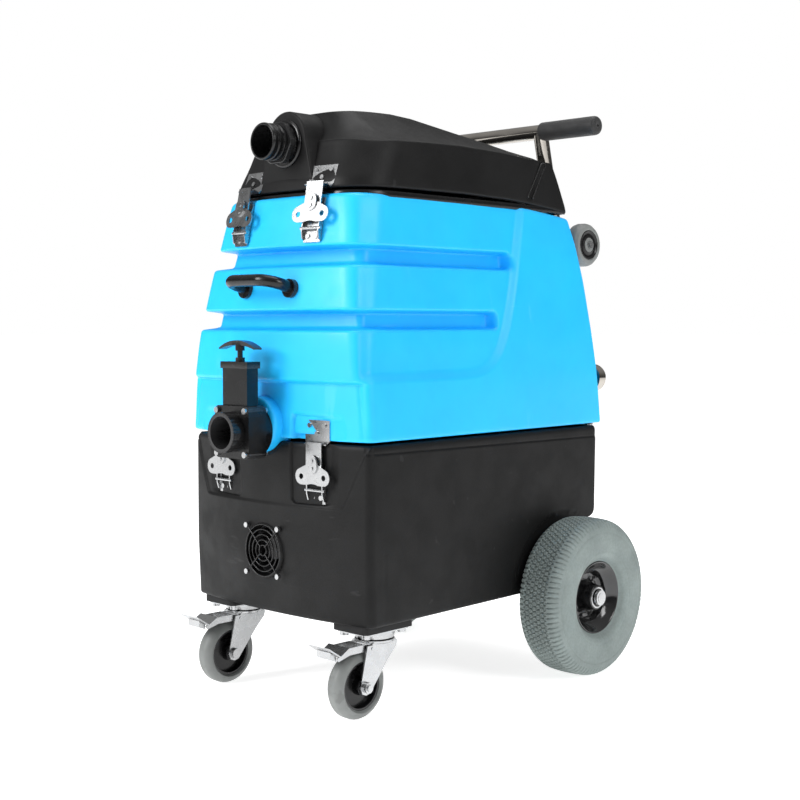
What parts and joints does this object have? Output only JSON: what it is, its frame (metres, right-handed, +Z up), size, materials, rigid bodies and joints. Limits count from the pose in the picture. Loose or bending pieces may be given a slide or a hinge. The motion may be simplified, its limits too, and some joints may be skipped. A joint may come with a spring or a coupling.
{
  "type": "carpet cleaner machine",
  "caption": "Upright portable carpet cleaning machine: black base on casters and large rear wheels, blue tank, black dome lid with hose port, drain valve, draw latches and rear handle.",
  "frame": {"origin": "on the floor, under the middle of the overall box", "axes": "+Z up, -Y towards the front with the drain valve, +X towards the side with the fill cap; YZ is the plane of symmetry"},
  "size_m": [0.5452, 0.716, 0.927],
  "materials": {
    "black_housing": "fine orange-peel moulded texture",
    "blue_tank": "satin rotomoulded polyethylene",
    "black_gloss": "smooth moulded",
    "grey_tyre": "ribbed flat-free tyre",
    "grey_caster": "smooth non-marking rubber",
    "black_rim": "gloss black paint",
    "zinc": "bright zinc plate",
    "chrome_tube": "polished",
    "grip_rubber": "matte foam grip",
    "motor_alloy": "cast",
    "brass_fitting": "machined"
  },
  "bodies": {
    "chassis": {"base_shell": "black_housing", "fan_frame": "black_gloss", "fan_guard": "black_gloss", "base_fasteners": "zinc", "vacuum_motors": "motor_alloy", "solution_pump": "motor_alloy", "rear_axle": "zinc", "axle_nuts": "zinc", "axle_brackets": "zinc", "caster_pads": "black_housing", "caster_plates": "zinc", "caster_bolts": "zinc", "base_latch_brackets": "zinc", "control_panel": "black_gloss", "power_inlets": "black_gloss", "solution_coupler": "brass_fitting", "base_hinges": "zinc"},
    "tank": {"tank_shell": "blue_tank", "tank_hinges": "zinc", "tank_latch_brackets": "zinc", "tank_keepers": "zinc", "tank_screws": "zinc", "drain_boss": "blue_tank", "valve_body": "black_gloss", "front_handle": "black_gloss", "handle_frame": "chrome_tube", "handle_grips": "grip_rubber", "transport_axle": "zinc", "float_shutoff": "black_gloss"},
    "lid": {"lid_shell": "black_housing", "hose_port": "black_gloss", "lid_keepers": "zinc"},
    "fan": {"fan_rotor": "black_gloss"},
    "valve_slide": {"valve_gate": "black_gloss"},
    "cap": {"fill_cap": "chrome_tube"},
    "rocker_left": {"switch_left": "black_gloss"},
    "rocker_middle": {"switch_middle": "black_gloss"},
    "rocker_right": {"switch_right": "black_gloss"},
    "rear_wheel_left": {"rear_tyre_left": "grey_tyre", "rear_rim_left": "black_rim"},
    "caster_left": {"caster_fork_left": "zinc"},
    "caster_wheel_left": {"caster_tyre_left": "grey_caster", "caster_core_left": "black_gloss"},
    "brake_left": {"brake_pedal_left": "zinc"},
    "transport_left": {"transport_wheel_left": "grey_caster"},
    "wing_base_left": {"latch_wing_base_left": "zinc"},
    "claw_base_left": {"latch_claw_base_left": "zinc"},
    "wing_lid_left": {"latch_wing_lid_left": "zinc"},
    "claw_lid_left": {"latch_claw_lid_left": "zinc"},
    "rear_wheel_right": {"rear_tyre_right": "grey_tyre", "rear_rim_right": "black_rim"},
    "caster_right": {"caster_fork_right": "zinc"},
    "caster_wheel_right": {"caster_tyre_right": "grey_caster", "caster_core_right": "black_gloss"},
    "brake_right": {"brake_pedal_right": "zinc"},
    "transport_right": {"transport_wheel_right": "grey_caster"},
    "wing_base_right": {"latch_wing_base_right": "zinc"},
    "claw_base_right": {"latch_claw_base_right": "zinc"},
    "wing_lid_right": {"latch_wing_lid_right": "zinc"},
    "claw_lid_right": {"latch_claw_lid_right": "zinc"}
  },
  "joints": [
    {"name": "tank_tilt", "type": "hinge", "parent": "chassis", "child": "tank", "pos_m": [0, 0.327, 0.4085], "axis": [-1, 0, 0], "range_deg": [0, 55]},
    {"name": "lid_lift", "type": "slide", "parent": "tank", "child": "lid", "axis": [0, 0, 1], "range_m": [0, 0.036]},
    {"name": "gate_pull", "type": "slide", "parent": "tank", "child": "valve_slide", "axis": [0, 0, 1], "range_m": [0, 0.048]},
    {"name": "cap_turn", "type": "hinge", "parent": "tank", "child": "cap", "pos_m": [0.17, 0.325, 0.487], "axis": [0, 1, 0], "continuous": true},
    {"name": "fan_spin", "type": "hinge", "parent": "chassis", "child": "fan", "pos_m": [0, -0.246, 0.238], "axis": [0, 1, 0], "continuous": true},
    {"name": "rocker_left_press", "type": "hinge", "parent": "chassis", "child": "rocker_left", "pos_m": [-0.07, 0.316, 0.352], "axis": [1, 0, 0], "range_deg": [-8, 8]},
    {"name": "rocker_middle_press", "type": "hinge", "parent": "chassis", "child": "rocker_middle", "pos_m": [0, 0.316, 0.352], "axis": [1, 0, 0], "range_deg": [-8, 8]},
    {"name": "rocker_right_press", "type": "hinge", "parent": "chassis", "child": "rocker_right", "pos_m": [0.07, 0.316, 0.352], "axis": [1, 0, 0], "range_deg": [-8, 8]},
    {"name": "rear_wheel_left_roll", "type": "hinge", "parent": "chassis", "child": "rear_wheel_left", "pos_m": [-0.231, 0.22, 0.13], "axis": [1, 0, 0], "continuous": true},
    {"name": "caster_left_swivel", "type": "hinge", "parent": "chassis", "child": "caster_left", "pos_m": [-0.151, -0.19, 0.112], "axis": [0, 0, 1], "continuous": true},
    {"name": "caster_wheel_left_roll", "type": "hinge", "parent": "caster_left", "child": "caster_wheel_left", "pos_m": [-0.151, -0.229, 0.05], "axis": [1, 0, 0], "continuous": true},
    {"name": "brake_left_press", "type": "hinge", "parent": "caster_left", "child": "brake_left", "pos_m": [-0.151, -0.216, 0.105], "axis": [1, 0, 0], "range_deg": [0, 8]},
    {"name": "transport_left_roll", "type": "hinge", "parent": "tank", "child": "transport_left", "pos_m": [-0.152, 0.321, 0.717], "axis": [1, 0, 0], "continuous": true},
    {"name": "wing_base_left_turn", "type": "hinge", "parent": "chassis", "child": "wing_base_left", "pos_m": [-0.105, -0.26, 0.368], "axis": [-0.0349, -0.9994, 0], "range_deg": [0, 180]},
    {"name": "claw_base_left_draw", "type": "slide", "parent": "chassis", "child": "claw_base_left", "axis": [0, 0, 1], "range_m": [0, 0.008]},
    {"name": "wing_lid_left_turn", "type": "hinge", "parent": "tank", "child": "wing_lid_left", "pos_m": [-0.07984, -0.23908, 0.75035], "axis": [-0.1026, -0.9762, 0.1908], "range_deg": [0, 180]},
    {"name": "claw_lid_left_draw", "type": "slide", "parent": "tank", "child": "claw_lid_left", "axis": [0.0199, 0.1898, 0.9816], "range_m": [0, 0.008]},
    {"name": "rear_wheel_right_roll", "type": "hinge", "parent": "chassis", "child": "rear_wheel_right", "pos_m": [0.231, 0.22, 0.13], "axis": [1, 0, 0], "continuous": true},
    {"name": "caster_right_swivel", "type": "hinge", "parent": "chassis", "child": "caster_right", "pos_m": [0.151, -0.19, 0.112], "axis": [0, 0, 1], "continuous": true},
    {"name": "caster_wheel_right_roll", "type": "hinge", "parent": "caster_right", "child": "caster_wheel_right", "pos_m": [0.151, -0.229, 0.05], "axis": [1, 0, 0], "continuous": true},
    {"name": "brake_right_press", "type": "hinge", "parent": "caster_right", "child": "brake_right", "pos_m": [0.151, -0.216, 0.105], "axis": [1, 0, 0], "range_deg": [0, 8]},
    {"name": "transport_right_roll", "type": "hinge", "parent": "tank", "child": "transport_right", "pos_m": [0.152, 0.321, 0.717], "axis": [1, 0, 0], "continuous": true},
    {"name": "wing_base_right_turn", "type": "hinge", "parent": "chassis", "child": "wing_base_right", "pos_m": [0.105, -0.26, 0.368], "axis": [0.0349, -0.9994, 0], "range_deg": [0, 180]},
    {"name": "claw_base_right_draw", "type": "slide", "parent": "chassis", "child": "claw_base_right", "axis": [0, 0, 1], "range_m": [0, 0.008]},
    {"name": "wing_lid_right_turn", "type": "hinge", "parent": "tank", "child": "wing_lid_right", "pos_m": [0.07984, -0.23908, 0.75035], "axis": [0.1026, -0.9762, 0.1908], "range_deg": [0, 180]},
    {"name": "claw_lid_right_draw", "type": "slide", "parent": "tank", "child": "claw_lid_right", "axis": [-0.0199, 0.1898, 0.9816], "range_m": [0, 0.008]}
  ],
  "couplings": [
    {"joint": "claw_base_left_draw", "follows": "wing_base_left_turn", "m_per_rad": 0.002546},
    {"joint": "claw_lid_left_draw", "follows": "wing_lid_left_turn", "m_per_rad": 0.002546},
    {"joint": "claw_base_right_draw", "follows": "wing_base_right_turn", "m_per_rad": 0.002546},
    {"joint": "claw_lid_right_draw", "follows": "wing_lid_right_turn", "m_per_rad": 0.002546}
  ]
}
